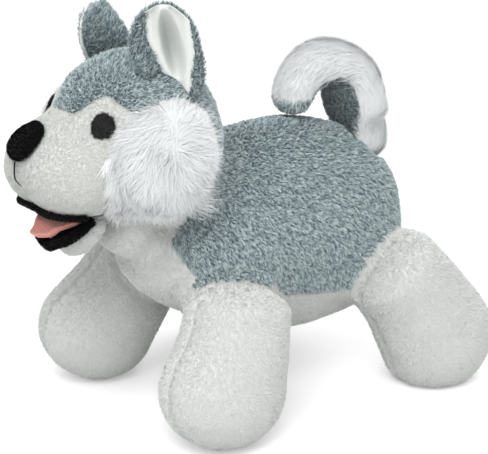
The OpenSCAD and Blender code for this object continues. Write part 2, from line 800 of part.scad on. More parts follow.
module tail_stuffing() {
    inset = cloth + fill_room;
    inner = [for (i = [1:len(tail_rings) - 2]) tail_rings[i]];
    first = inner[0];
    last = inner[len(inner) - 1];
    color(fibre)
        lofted([for (ring = inner) [for (a = spread(0, 330, 12)) tail_point(ring, -a, inset)]],
               first[0] - first[1] * 1, last[0] + last[1] * 1);
}

// ---- Legs ----

// Rings of a leg as [middle, half width, half length], from the dome in the body to the paw
function leg_rings(leg, inset) =
    let (hip = leg[0],
         paw = paw_of(leg),
         way = unit(paw - hip),
         ahead = unit(cross(way, [1, 0, 0])),
         top = leg_r - inset,
         end = paw_r - inset)
    concat([for (a = [85, 64, 42, 20])
               [hip - way * (leg_dome - inset) * sin(a), top * cos(a), top * cos(a)]],
           [for (k = spread(0, 0.8, 4))
               [mix(hip, paw, k) + ahead * (toe_l / 2 * step(k, 0.2, 1)), mix(top, end, step(k, 0, 1)),
                mix(top, end + toe_l / 2, step(k, 0, 1))]],
           [for (a = [0, 21, 42, 63, 84])
               [paw + way * end * sin(a) + ahead * toe_l / 2, end * cos(a), (end + toe_l / 2) * cos(a)]]);

// A point on a leg ring, with a from 0 at the outer side round the front
function leg_point(leg, ring, a, floor_z) =
    let (way = unit(paw_of(leg) - leg[0]),
         ahead = unit(cross(way, [1, 0, 0])),
         across = cross(ahead, way),
         p = ring[0] + across * (leg[2] * ring[1] * cos(a)) + ahead * (ring[2] * sin(a)))
    [p.x, p.y, max(p.z, floor_z)];

module leg_panel(leg, from_a, to_a) {
    sweep = leg[2] > 0 ? spread(to_a, from_a, 10) : spread(from_a, to_a, 10);
    sheet([for (ring = leg_rings(leg, 0)) [for (a = sweep) leg_point(leg, ring, a, 0)]],
          [for (ring = leg_rings(leg, cloth)) [for (a = sweep) leg_point(leg, ring, a, cloth)]]);
}

leg_seam = seam_turn(leg_r);

module leg_outer(leg) {
    color(white_cloth) leg_panel(leg, -90 + leg_seam, 90 - leg_seam);
}

module leg_inner(leg) {
    color(white_cloth) leg_panel(leg, 90 + leg_seam, 270 - leg_seam);
}

// Part of the filling of a leg, between two of its rings
module leg_fill(leg, first, last) {
    inset = cloth + fill_room;
    rings = leg_rings(leg, inset);
    way = unit(paw_of(leg) - leg[0]);
    lift = last == len(rings) - 1 ? 0 : seam;
    used = [for (i = [first:last]) rings[i]];
    function flat(p) = [p.x, p.y, max(p.z, inset)];
    lofted([for (i = [0:len(used) - 1])
               [for (a = spread(-90, 250, 18))
                   let (p = leg_point(leg, used[i], -leg[2] * a, inset))
                   i == len(used) - 1 ? p - way * lift : p]],
           used[0][0], flat(used[len(used) - 1][0] - way * lift));
}

beans_from = 6;

module leg_stuffing(leg) {
    color(fibre) leg_fill(leg, 0, beans_from);
}

module leg_beans(leg) {
    color(bean_cloth) leg_fill(leg, beans_from, 12);
}

module front_left_outer() {
    leg_outer(front_left);
}

module front_left_inner() {
    leg_inner(front_left);
}

module front_left_stuffing() {
    leg_stuffing(front_left);
}

module front_left_beans() {
    leg_beans(front_left);
}

module front_right_outer() {
    leg_outer(front_right);
}

module front_right_inner() {
    leg_inner(front_right);
}

module front_right_stuffing() {
    leg_stuffing(front_right);
}

module front_right_beans() {
    leg_beans(front_right);
}

module back_left_outer() {
    leg_outer(back_left);
}

module back_left_inner() {
    leg_inner(back_left);
}

module back_left_stuffing() {
    leg_stuffing(back_left);
}

module back_left_beans() {
    leg_beans(back_left);
}

module back_right_outer() {
    leg_outer(back_right);
}

module back_right_inner() {
    leg_inner(back_right);
}

module back_right_stuffing() {
    leg_stuffing(back_right);
}

module back_right_beans() {
    leg_beans(back_right);
}

saddle_left();
saddle_right();
chest_panel();
belly_panel();
body_stuffing();
crown_left();
crown_right();
face_left();
face_right();
cheek_left();
cheek_right();
throat_panel();
mouth_lining();
head_stuffing();
nose();
nose_stitch();
upper_lip();
left_eye();
right_eye();
chin_panel();
mouth_floor();
lower_lip();
jaw_stuffing();
tongue();
left_ear_back();
left_ear_lining();
right_ear_back();
right_ear_lining();
tail_back();
tail_brush();
tail_stuffing();
front_left_outer();
front_left_inner();
front_left_stuffing();
front_left_beans();
front_right_outer();
front_right_inner();
front_right_stuffing();
front_right_beans();
back_left_outer();
back_left_inner();
back_left_stuffing();
back_left_beans();
back_right_outer();
back_right_inner();
back_right_stuffing();
back_right_beans();
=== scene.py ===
import json
import math

import bmesh
import bpy
import numpy as np
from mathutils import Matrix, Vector, noise
from mathutils.bvhtree import BVHTree
from mathutils.kdtree import KDTree

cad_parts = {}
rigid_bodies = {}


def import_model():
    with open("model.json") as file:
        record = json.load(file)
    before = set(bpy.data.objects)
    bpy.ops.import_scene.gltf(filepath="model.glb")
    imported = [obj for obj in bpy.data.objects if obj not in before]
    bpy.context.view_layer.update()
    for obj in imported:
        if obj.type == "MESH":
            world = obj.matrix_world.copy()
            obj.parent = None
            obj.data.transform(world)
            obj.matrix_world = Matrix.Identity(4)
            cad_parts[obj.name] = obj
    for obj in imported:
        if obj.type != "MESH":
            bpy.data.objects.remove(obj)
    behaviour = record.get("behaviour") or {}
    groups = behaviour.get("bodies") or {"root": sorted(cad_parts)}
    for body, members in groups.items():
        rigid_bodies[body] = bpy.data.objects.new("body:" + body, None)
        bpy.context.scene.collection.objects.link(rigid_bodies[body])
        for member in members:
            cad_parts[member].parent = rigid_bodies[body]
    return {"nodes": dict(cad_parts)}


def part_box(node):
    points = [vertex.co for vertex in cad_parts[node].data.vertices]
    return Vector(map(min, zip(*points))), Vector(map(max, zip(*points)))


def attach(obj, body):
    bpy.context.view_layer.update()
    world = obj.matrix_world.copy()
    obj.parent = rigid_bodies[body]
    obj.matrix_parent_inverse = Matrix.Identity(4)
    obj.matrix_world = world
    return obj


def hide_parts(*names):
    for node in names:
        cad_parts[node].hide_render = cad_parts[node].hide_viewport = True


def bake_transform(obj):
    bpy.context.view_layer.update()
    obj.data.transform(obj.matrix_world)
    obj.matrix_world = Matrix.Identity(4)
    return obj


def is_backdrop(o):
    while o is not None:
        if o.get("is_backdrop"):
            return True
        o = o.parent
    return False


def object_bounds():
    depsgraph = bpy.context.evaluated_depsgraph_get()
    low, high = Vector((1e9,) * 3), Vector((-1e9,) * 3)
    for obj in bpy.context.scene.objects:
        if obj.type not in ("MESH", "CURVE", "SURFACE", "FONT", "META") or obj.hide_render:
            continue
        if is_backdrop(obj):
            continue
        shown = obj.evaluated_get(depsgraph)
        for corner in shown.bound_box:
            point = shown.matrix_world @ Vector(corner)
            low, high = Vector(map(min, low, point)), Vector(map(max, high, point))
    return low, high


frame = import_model()
cad_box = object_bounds()
mm = 0.001


# ---- Camera ----
# It looks at the dog's left cheek and flank from a little above. It stands a metre away with
# a long lens, so the near legs are hardly larger than the far ones.

view_turn = math.radians(55)
view_rise = math.radians(18)
view_distance = 1000 * mm
sensor_width = 36
long_lens = 103.3
behind_chest = 96 * mm
aim_height = 119 * mm

aim = Vector((0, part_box("chest_panel")[0].y + behind_chest, aim_height))
back = Vector((math.sin(view_turn) * math.cos(view_rise),
               -math.cos(view_turn) * math.cos(view_rise),
               math.sin(view_rise)))

camera = bpy.data.objects.new("camera", bpy.data.cameras.new("camera"))
camera.data.sensor_width = sensor_width
camera.data.lens = long_lens
camera.location = aim + back * view_distance
camera.rotation_euler = back.to_track_quat("Z", "Y").to_euler()
bpy.context.scene.collection.objects.link(camera)
bpy.context.scene.camera = camera
bpy.context.scene.view_settings.view_transform = "Standard"


# ---- Floor and studio light ----
# A wide sheet of white paper in a white room, with two soft lamps. To the camera the paper is
# as white as the room, and it keeps the dog's faint shadow.

floor_half = 4.0
paper_grey = 0.82
paper_glow = 0.34
room_light = 0.82
room_as_seen = 1.0
lamps_aim = Vector((0, 0, 0.12))

sweep = bmesh.new()
bmesh.ops.create_grid(sweep, x_segments=1, y_segments=1, size=floor_half)
floor_mesh = bpy.data.meshes.new("floor")
sweep.to_mesh(floor_mesh)
sweep.free()
floor = bpy.data.objects.new("floor", floor_mesh)
bpy.context.scene.collection.objects.link(floor)
floor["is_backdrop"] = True


class Wire:
    """An output socket of a material. A sum on it adds a Math node."""

    def __init__(self, finish, socket):
        self.finish = finish
        self.socket = socket

    def math(self, operation, *values):
        return self.finish.add("ShaderNodeMath", {"operation": operation}, dict(enumerate(values)))

    def __sub__(self, other):
        return self.math("SUBTRACT", self, other)

    def __rsub__(self, other):
        return self.math("SUBTRACT", other, self)

    def __mul__(self, other):
        return self.math("MULTIPLY", self, other)

    def __rmul__(self, other):
        return self.math("MULTIPLY", other, self)

    def __pow__(self, other):
        return self.math("POWER", self, other)

    def __rpow__(self, other):
        return self.math("POWER", other, self)


class Finish:
    """A material being made, with one Principled shader. The slot of the record that it is meant
    for is kept, but not used.
    """

    def __init__(self, name, slot, roughness, sheen=0.0, specular=0.3):
        self.slot = slot
        self.material = bpy.data.materials.new(name)
        self.material.use_nodes = True
        self.tree = self.material.node_tree
        self.shader = self.tree.nodes["Principled BSDF"]
        self.set(Roughness=roughness, **{"Sheen Weight": sheen, "Specular IOR Level": specular})

    def add(self, kind, settings=None, sockets=None, output=0):
        node = self.tree.nodes.new(kind)
        for name, value in (settings or {}).items():
            if name == "stops":
                for stop, (place, colour) in zip(node.color_ramp.elements, value):
                    stop.position = place
                    stop.color = (*colour, 1)
            else:
                setattr(node, name, value)
        for name, value in (sockets or {}).items():
            self.feed(node.inputs[name], value)
        return Wire(self, node.outputs[output])

    def feed(self, socket, value):
        if isinstance(value, Wire):
            self.tree.links.new(value.socket, socket)
        else:
            socket.default_value = value

    def set(self, **sockets):
        for name, value in sockets.items():
            self.feed(self.shader.inputs[name], value)

    def dye(self, colour):
        self.set(**{"Base Color": colour})

    def ramp(self, factor, dark, light, low=0.0, high=1.0):
        """A colour that goes from dark to light as factor goes from low to high."""
        stops = [(low, dark), (high, light)]
        return self.add("ShaderNodeValToRGB", {"stops": stops}, {"Fac": factor})

    def mix(self, share, first, second):
        """A colour that goes from the first to the second as share goes from 0 to 1."""
        return self.add("ShaderNodeMix", {"data_type": "RGBA"},
                        {"Factor": share, 6: first, 7: second}, output=2)

    def place(self, stretch=(1, 1, 1)):
        """The surface's own place on the toy, stretched along the axes."""
        here = self.add("ShaderNodeTexCoord", output="Object")
        return self.add("ShaderNodeMapping", {}, {"Vector": here, "Scale": stretch})

    def noise(self, size, detail=2.0, stretch=(1, 1, 1)):
        """Noise between 0 and 1 whose lumps are about size metres across."""
        return self.add("ShaderNodeTexNoise", {},
                        {"Vector": self.place(stretch), "Scale": 1 / size, "Detail": detail})

    def bump(self, height, depth):
        self.set(Normal=self.add("ShaderNodeBump", {},
                                 {"Height": height, "Distance": depth, "Strength": 1.0}))


paper = Finish("white_paper", None, roughness=1.0, specular=0.0)
seen = paper.add("ShaderNodeLightPath", output="Is Camera Ray")
paper.dye((paper_grey, paper_grey, paper_grey, 1))
paper.set(**{"Emission Color": (1, 1, 1, 1), "Emission Strength": seen * paper_glow})
floor_mesh.materials.append(paper.material)

world = bpy.data.worlds.new("studio")
bpy.context.scene.world = world
world.use_nodes = True
sky = world.node_tree
ambient = sky.nodes["Background"]
ambient.inputs["Color"].default_value = (1, 1, 1, 1)
ray = sky.nodes.new("ShaderNodeLightPath")
strength = sky.nodes.new("ShaderNodeMapRange")
strength.inputs["To Min"].default_value = room_light
strength.inputs["To Max"].default_value = room_as_seen
sky.links.new(ray.outputs["Is Camera Ray"], strength.inputs["Value"])
sky.links.new(strength.outputs["Result"], ambient.inputs["Strength"])


def soft_lamp(name, place, power, size):
    light = bpy.data.lights.new(name, "AREA")
    light.energy = power
    light.size = size
    lamp = bpy.data.objects.new(name, light)
    lamp.location = place
    lamp.rotation_euler = (Vector(place) - lamps_aim).to_track_quat("Z", "Y").to_euler()
    bpy.context.scene.collection.objects.link(lamp)


soft_lamp("key", place=(0.6, -0.6, 1.1), power=12.0, size=0.8)
soft_lamp("fill", place=(-0.3, 0.9, 0.9), power=5.5, size=1.0)


# ---- Fillings ----
# Polyester fibre in the body, head, jaw, tail and legs, and a cloth pouch of beans in each
# paw. Loose tufts pushed in by hand, so lumpy; the cloth round them is sewn shut.

wad_tuft = 9 * mm
wad_dent_mm = 0.3
strand = 1.2 * mm
bean = 4 * mm


def cad_mesh(*nodes):
    """The named solids' faces as one bmesh, with their loose triangles joined up."""
    made = bmesh.new()
    for node in nodes:
        made.from_mesh(frame["nodes"][node].data)
    bmesh.ops.remove_doubles(made, verts=made.verts, dist=0.01 * mm)
    return made


def quads(made):
    """Takes out the diagonals that split the solid's four-sided faces."""
    bmesh.ops.join_triangles(made, faces=made.faces, angle_face_threshold=math.radians(60),
                             angle_shape_threshold=math.radians(70), cmp_materials=True)


def piece(name, made, *finishes):
    """A new object with the bmesh as its mesh, smooth shaded."""
    mesh = bpy.data.meshes.new(name)
    made.to_mesh(mesh)
    made.free()
    mesh.shade_smooth()
    for finish in finishes:
        mesh.materials.append(finish.material)
    thing = bpy.data.objects.new(name, mesh)
    bpy.context.scene.collection.objects.link(thing)
    return thing


def rounded(made, levels=2, fits=3):
    """The bmesh after a subdivision surface of that many levels, which passes through the
    first corners: each fit pushes them out by what the rounding took off."""
    rough = piece("rough", made)
    surface = rough.modifiers.new("round", "SUBSURF")
    surface.levels = surface.render_levels = levels
    corners = [vert.co.copy() for vert in rough.data.vertices]
    for _ in range(fits):
        fine = rough.evaluated_get(bpy.context.evaluated_depsgraph_get()).data
        reached = [vert.co.copy() for vert in fine.vertices]
        for vert, corner, place in zip(rough.data.vertices, corners, reached):
            vert.co += corner - place
        rough.data.update()
    smooth = bmesh.new()
    smooth.from_mesh(rough.evaluated_get(bpy.context.evaluated_depsgraph_get()).data)
    bpy.data.objects.remove(rough)
    return smooth


def lumps(point, size):
    """Soft lumps from -1 to 1, about size across."""
    return noise.noise(point / size)


def srgb(*channels):
    """A colour given in the 0 to 255 steps of a paint chart."""
    return tuple(((c / 255 + 0.055) / 1.055) ** 2.4 if c > 10 else c / 255 / 12.92
                 for c in channels)


fibre = Finish("polyester_fibre", "fibre_fill", roughness=0.95, sheen=0.3)
strands = fibre.noise(strand, 4, (1, 1, 3))
fibre.dye(fibre.ramp(strands, srgb(205, 204, 198), srgb(244, 243, 238), 0.3, 0.7))
fibre.bump(strands, 0.4 * mm)

pouch = Finish("bean_pouch_cloth", "bean_pouch", roughness=0.85, sheen=0.2)
beans = pouch.add("ShaderNodeTexVoronoi", {}, {"Vector": pouch.place(), "Scale": 1 / bean})
# Painted shade: the pouch cloth is darker between the beans, away from their tops.
pouch.dye(pouch.ramp(beans, srgb(214, 219, 228), srgb(178, 184, 196)))
pouch.bump(1 - beans, 0.6 * mm)

legs = ("front_left", "front_right", "back_left", "back_right")
fillings = {"body_stuffing": "torso", "head_stuffing": "head", "jaw_stuffing": "lower_jaw",
            "tail_stuffing": "tail"}
fillings.update({f"{leg}_stuffing": f"{leg}_leg" for leg in legs})
fillings.update({f"{leg}_beans": f"{leg}_leg" for leg in legs})
for node, body in fillings.items():
    wad = cad_mesh(node)
    quads(wad)
    wad = rounded(wad, 1)
    wad.normal_update()
    for vert in wad.verts:
        vert.co -= vert.normal * (wad_dent_mm + wad_dent_mm * lumps(vert.co, wad_tuft)) * mm
    filling = piece(node + "_wad", wad, pouch if node.endswith("beans") else fibre)
    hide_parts(node)
    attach(filling, body)


# ---- Body cloth ----
# Grey curly pile in two halves over the back, short white pile at the chest and belly. The
# panels are sewn edge to edge, inside out, and turned, so each seam lies in a shallow valley.

weld = 0.7 * mm
pole_sides = 30
cloth_thickness = 1.5 * mm
sag_size, dent_size = 26 * mm, 11 * mm
pucker_step, pucker_drift, pucker_patch = 9 * mm, 15 * mm, 24 * mm
pucker_reach, pucker_start = 8 * mm, 2 * mm
root_depth_mm = 0.2
tuft_spread = 0.25


def outer_cloth(nodes, hidden_in):
    """The outer faces of some cloth panels, welded along their seams and rounded. A face's
    material number says which panel it belongs to."""
    tree = BVHTree.FromBMesh(cad_mesh(*hidden_in))
    whole = bmesh.new()
    for number, node in enumerate(nodes):
        panel = cad_mesh(node)
        inner = []
        for face in panel.faces:
            middle = face.calc_center_median()
            away = middle - tree.find_nearest(middle)[0]
            if away.dot(face.normal) < 0.5 * away.length:
                inner.append(face)
            face.material_index = number
        bmesh.ops.delete(panel, geom=inner, context="FACES")
        one = bpy.data.meshes.new("panel")
        panel.to_mesh(one)
        whole.from_mesh(one)
        panel.free()
    bmesh.ops.remove_doubles(whole, verts=whole.verts, dist=weld)
    rims = [edge for edge in whole.edges if edge.is_boundary]
    bmesh.ops.holes_fill(whole, edges=rims, sides=pole_sides)
    rump = max(vert.co.y for vert in whole.verts) - 0.5 * mm
    rims = [edge for edge in whole.edges
            if edge.is_boundary and all(vert.co.y > rump for vert in edge.verts)]
    bmesh.ops.holes_fill(whole, edges=rims, sides=0)
    quads(whole)
    return rounded(whole)


def seam_points(cloth):
    """Every corner of the cloth that lies where two panels meet."""
    found = []
    for edge in cloth.edges:
        sides = {face.material_index for face in edge.link_faces}
        if len(edge.link_faces) == 2 and len(sides) == 2:
            found += edge.verts
    tree = KDTree(len(found))
    for number, vert in enumerate(found):
        tree.insert(vert.co, number)
    tree.balance()
    return tree


def tailor(cloth, sink, valley, valley_half, pucker=0.0, crease=0.5 * mm):
    """Sinks the cloth by the thickness of its pile, draws it in along the seams with small
    puckers across them, and lets it sag in soft creases elsewhere."""
    seams = seam_points(cloth)
    cloth.normal_update()
    moved = []
    for vert in cloth.verts:
        near, _, off = seams.find(vert.co)
        depth = sink + crease * lumps(vert.co, sag_size) + 0.4 * crease * lumps(vert.co, dent_size)
        if near is not None:
            depth += valley * math.exp(-(off / valley_half) ** 2)
            turns = near.z / pucker_step + 0.8 * lumps(near, pucker_drift)
            strength = max(0.0, 0.35 + lumps(near, pucker_patch))
            wave = math.sin(2 * math.pi * turns)
            fade = min(1, off / pucker_start)
            depth += pucker * strength * wave * math.exp(-off / pucker_reach) * fade
        moved.append(vert.co - vert.normal * depth)
    for vert, place in zip(cloth.verts, moved):
        vert.co = place
    cloth.normal_update()
    return cloth


def cut_out(cloth, number):
    """A copy of the cloth with only the faces of one material number, which becomes 0."""
    part = cloth.copy()
    others = [face for face in part.faces if face.material_index != number]
    bmesh.ops.delete(part, geom=others, context="FACES")
    for face in part.faces:
        face.material_index = 0
    return part


def thicken(cover, thickness):
    """Gives a cover the thickness of its cloth, on the inside."""
    wall = cover.modifiers.new("cloth", "SOLIDIFY")
    wall.thickness = thickness
    wall.offset = -1


def cut_panels(cloth, nodes, body, finishes):
    """Cuts the cloth along its seams into one piece for each panel, with the cloth's
    thickness behind it. Each piece's outer surface is kept for its pile."""
    surfaces = {}
    for number, (node, finish) in enumerate(zip(nodes, finishes)):
        panel = cut_out(cloth, number)
        surfaces[node] = panel.copy()
        cover = piece(node + "_cloth", panel, finish)
        thicken(cover, cloth_thickness)
        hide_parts(node)
        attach(cover, body)
    cloth.free()
    return surfaces


def second_ground(node, finish, rule):
    """Gives the part of a panel's cloth where the rule holds another ground."""
    cloth = bpy.data.objects[node + "_cloth"].data
    cloth.materials.append(finish.material)
    for face in cloth.polygons:
        face.material_index = 1 if rule(face.center) else 0


def not_on(rule):
    return lambda place: not rule(place)


def scattered(surface, per_square, rng):
    """Evenly scattered roots on a surface, and the way up from it at each."""
    mesh = bpy.data.meshes.new("ground")
    surface.to_mesh(mesh)
    surface.free()
    mesh.calc_loop_triangles()
    corners = np.array([vert.co for vert in mesh.vertices])
    normals = np.array([vert.normal for vert in mesh.vertices])
    tris = np.array([tri.vertices for tri in mesh.loop_triangles])
    bpy.data.meshes.remove(mesh)
    a, b, c = corners[tris[:, 0]], corners[tris[:, 1]], corners[tris[:, 2]]
    area = np.linalg.norm(np.cross(b - a, c - a), axis=1) / 2
    count = int(area.sum() * per_square / mm ** 2)
    steps = (np.arange(count) + rng.random(count)) / count * area.sum()
    chosen = np.searchsorted(np.cumsum(area), steps).clip(0, len(tris) - 1)
    u, v = rng.random((2, count))
    u, v = np.where(u + v > 1, 1 - u, u), np.where(u + v > 1, 1 - v, v)
    share = np.stack([1 - u - v, u, v], axis=1)[:, :, None]
    root = (corners[tris[chosen]] * share).sum(1)
    up = (normals[tris[chosen]] * share).sum(1)
    return root, up / np.linalg.norm(up, axis=1, keepdims=True)


def blades(name, rows, tone, joints):
    """The tufts' mesh, from the rows of points up each blade. Its own map holds a blade's
    shade across and its height up."""
    size = 2 * joints + 1
    count = len(tone)
    points = np.stack(rows, axis=1).reshape(-1, 3)
    pattern = [(2 * j, 2 * j + 2, 2 * j + 3, 2 * j + 1) for j in range(joints - 1)]
    tip = (size - 3, size - 1, size - 2)
    first = np.arange(count)[:, None] * size
    loops = np.concatenate([first + np.array(sum(pattern, ())), first + np.array(tip)], axis=1)
    loops = loops.ravel()
    sides = np.tile([4] * (joints - 1) + [3], count)
    starts = np.concatenate([[0], np.cumsum(sides)[:-1]])
    grown = bpy.data.meshes.new(name)
    grown.vertices.add(len(points))
    grown.vertices.foreach_set("co", points.ravel())
    grown.loops.add(len(loops))
    grown.loops.foreach_set("vertex_index", loops.astype(np.int32))
    grown.polygons.add(len(sides))
    grown.polygons.foreach_set("loop_start", starts.astype(np.int32))
    grown.update(calc_edges=True)
    heights = np.array([j // 2 / joints for j in range(2 * joints)] + [1.0])
    across = np.array([-1, 1] * joints + [0]) * 0.01
    uv = np.stack([tone[:, None] + across, np.broadcast_to(heights, (count, size))], axis=2)
    bake_map = grown.uv_layers.new(name="OFBake")
    bake_map.data.foreach_set("uv", uv.reshape(-1, 2)[loops].ravel())
    return grown


def pile(name, surface, body, finish, per_square, length, width, rise, wander, joints, clump,
         tangle, uneven, lay=(0, 1, -0.6), only=None, soft=0.0):
    """Grows one piece of pile on a surface. Each tuft is a tapered blade of a few faces that
    leaves the cloth at the first angle of rise and ends at the second. It leans along lay,
    turned by tangle towards its clump's own way and by up to wander degrees at random. Clumps
    are about clump across, and their tufts differ in length by uneven; the tufts of low clumps
    are also painted darker by uneven, a painted shade in the gaps. Tones differ at random too.
    Soft pile takes the light as the cloth under it does, strand by strand apart by soft."""
    rng = np.random.default_rng(1)
    noise.seed_set(1)
    if only:
        bald = [face for face in surface.faces if not only(face.calc_center_median())]
        bmesh.ops.delete(surface, geom=bald, context="FACES")
    root, up = scattered(surface, per_square, rng)
    count = len(root)
    own = np.array([noise.noise_vector(place / clump) for place in root])
    high = np.array([noise.noise(place / clump + Vector((7, 3, 5))) for place in root])
    high = high.clip(-0.6, 0.6)
    lean = lay(root) if callable(lay) else np.broadcast_to(np.array(lay, float), root.shape)
    lean = lean / np.linalg.norm(lean, axis=1, keepdims=True) + own * tangle
    flat = lean - up * (lean * up).sum(1, keepdims=True)
    flat /= np.maximum(np.linalg.norm(flat, axis=1, keepdims=True), 1e-6)
    turn = np.radians(wander) * (rng.random(count) * 2 - 1)[:, None]
    flat = flat * np.cos(turn) + np.cross(up, flat) * np.sin(turn)
    side = np.cross(up, flat)
    here_long = length(root) if callable(length) else length
    long = (here_long * (1 + tuft_spread * (rng.random(count) * 2 - 1) + uneven * high))[:, None]
    tilt = rng.normal(0, 4 if soft else 7, count)[:, None]
    # Tone: at random from tuft to tuft, plus painted shade that darkens the tufts of low clumps.
    tone = (0.5 + 0.16 * rng.normal(0, 1, count) + uneven * high).clip(0.03, 0.97)

    rows = []
    here = root - up * root_depth_mm * mm
    for joint in range(joints + 1):
        half = width / 2 * (1 - (joint / joints) ** 2)
        rows += [here] if joint == joints else [here - side * half, here + side * half]
        angle = np.radians(rise[0] + (rise[1] - rise[0]) * (joint + 0.5) / joints + tilt)
        here = here + (up * np.sin(angle) + flat * np.cos(angle)) * long / joints
    grown = blades(name, rows, tone, joints)
    grown.materials.append(finish.material)
    grown.shade_smooth()
    if soft:
        apart, ahead = rng.normal(0, soft, (count, 1)), rng.normal(0, soft / 2, (count, 1))
        light_up = up + side * apart + flat * ahead
        light_up[:, 2] += 0.45
        light_up /= np.linalg.norm(light_up, axis=1, keepdims=True)
        grown.normals_split_custom_set_from_vertices(np.repeat(light_up, len(rows), axis=0))
    fur = bpy.data.objects.new(name, grown)
    bpy.context.scene.collection.objects.link(fur)
    if isinstance(body, str):
        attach(fur, body)
    else:
        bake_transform(fur)
    return fur


def pile_finish(name, slot, root, dark, light, roughness=0.9, sheen=0.25, specular=0.15):
    """The colour of one yarn: it turns to the root colour towards its root, a painted shade down
    among the tufts where the root colour is darker and a painted light where it is lighter; and
    from dark to light from tuft to tuft.
    """
    finish = Finish(name, slot, roughness, sheen, specular)
    tuft = finish.add("ShaderNodeUVMap", {"uv_map": "OFBake"})
    tone = finish.add("ShaderNodeSeparateXYZ", {}, {"Vector": tuft})
    height = Wire(finish, tone.socket.node.outputs["Y"])
    tips = finish.ramp(tone, dark, light, 0.1, 0.9)
    # Painted shade, or painted light where the root colour is lighter: each tuft turns to the root
    # colour towards its root.
    finish.dye(finish.mix(height ** 0.7, (*root, 1), tips))
    return finish


def backing(name, slot, dark, light, size, depth):
    """The woven ground that the pile stands on, seen only between tufts."""
    finish = Finish(name, slot, roughness=0.95, sheen=0.2, specular=0.1)
    grain = finish.noise(size, 3)
    finish.dye(finish.ramp(grain, dark, light, 0.35, 0.65))
    finish.bump(grain, depth)
    return finish


# The grey ground is darker than the grey yarn, near its root colour: partly the cloth's own grey,
# partly painted shade between the tufts.
grey_ground = backing("grey_pile_ground", "grey_pile",
                      srgb(72, 86, 92), srgb(118, 136, 140), size=1.3 * mm, depth=0.8 * mm)
grey_yarn = pile_finish("grey_curly_pile", "grey_pile",
                        srgb(78, 94, 100), srgb(128, 146, 151), srgb(212, 226, 227))
grey_tufts = {"per_square": 1.6, "length": 3.2 * mm, "width": 0.72 * mm, "rise": (82, 2),
              "wander": 35, "joints": 2, "clump": 1.9 * mm, "tangle": 1.1, "uneven": 0.7}
white_ground = backing("white_pile_ground", "white_pile",
                       srgb(200, 202, 200), srgb(212, 214, 212), size=0.9 * mm, depth=0.3 * mm)
white_yarn = pile_finish("white_short_pile", "white_pile",
                         srgb(202, 204, 202), srgb(206, 208, 205), srgb(224, 226, 224))
white_tufts = {"per_square": 1.4, "length": 2.2 * mm, "width": 0.5 * mm, "rise": (60, 10),
               "wander": 60, "joints": 2, "clump": 3.0 * mm, "tangle": 1.0, "uneven": 0.25}
thin_tufts = {**white_tufts, "per_square": 1.0}
combed_down = (0, 0.5, -1)

body_panels = ("saddle_left", "saddle_right", "chest_panel", "belly_panel")
body_cloth = outer_cloth(body_panels, ["body_stuffing"])
tailor(body_cloth, sink=1.3 * mm, valley=1.2 * mm, valley_half=2.2 * mm, crease=1.1 * mm)

fold_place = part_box("body_stuffing")[0].y + 71.5 * mm
fold_depth_mm, fold_half = 2.2, 3.5 * mm
fold_low, fold_fade = 165 * mm, 12 * mm
for vert in body_cloth.verts:
    above = min(1, max(0, (vert.co.z - fold_low) / fold_fade))
    off = (vert.co.y - fold_place) / fold_half
    vert.co -= vert.normal * fold_depth_mm * mm * above * math.exp(-off ** 2)
body_cloth.normal_update()
body_shell = body_cloth.copy()

bib_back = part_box("cheek_left")[0].y + 66 * mm
bib_height, bib_top_mm = 126 * mm, 26
bib_slant = 0.7
bib_curve_up, bib_curve_down = 0.03, 0.014
flank_low, flank_side = 98 * mm, 46 * mm


def is_bib(place):
    """Whether the place is on the white bib, in front of a curved line down the shoulder."""
    rise = (place.z - bib_height) / mm
    if rise > bib_top_mm:
        return False
    line = bib_back + rise ** 2 * (bib_curve_up if rise > 0 else bib_curve_down) * mm
    return place.y + bib_slant * abs(place.x) < line


def is_flank(place):
    """Whether the place is on the grey side of the shoulder, above the front leg."""
    return place.z > flank_low and abs(place.x) > flank_side and not is_bib(place)


body_surface = cut_panels(body_cloth, body_panels, "torso",
                          (grey_ground, grey_ground, white_ground, white_ground))
for side in ("saddle_left", "saddle_right"):
    second_ground(side, white_ground, is_bib)
    pile(side + "_bib_pile", body_surface[side].copy(), "torso", white_yarn,
         lay=combed_down, only=is_bib, **white_tufts)
    pile(side + "_pile", body_surface[side], "torso", grey_yarn,
         lay=combed_down, only=not_on(is_bib), **grey_tufts)
for side, tufts in (("chest_panel", white_tufts), ("belly_panel", thin_tufts)):
    second_ground(side, grey_ground, is_flank)
    pile(side + "_flank_pile", body_surface[side].copy(), "torso", grey_yarn,
         lay=combed_down, only=is_flank, **grey_tufts)
    pile(side + "_pile", body_surface[side], "torso", white_yarn,
         only=not_on(is_flank), **tufts)


# ---- Legs ----
# Four stuffed tubes of short white pile. An outer and an inner panel are sewn up the front
# and back, which puckers them, and the closed top sits in a fold of the body's cloth.

swell, fold_room = 6 * mm, 2.2 * mm
melt_grain = 2.5 * mm
clearance = 0.5 * mm
tuck = 1.0 * mm
bend_half_mm = 7
join_thickness = 0.8 * mm
ground_height, sole_height = 0.1 * mm, 0.9 * mm


def soften(made, chosen, times):
    """Smooths the chosen corners of a bmesh that many times."""
    for _ in range(times):
        bmesh.ops.smooth_vert(made, verts=[vert for vert in made.verts if chosen(vert)],
                              factor=0.5, use_axis_x=True, use_axis_y=True, use_axis_z=True)


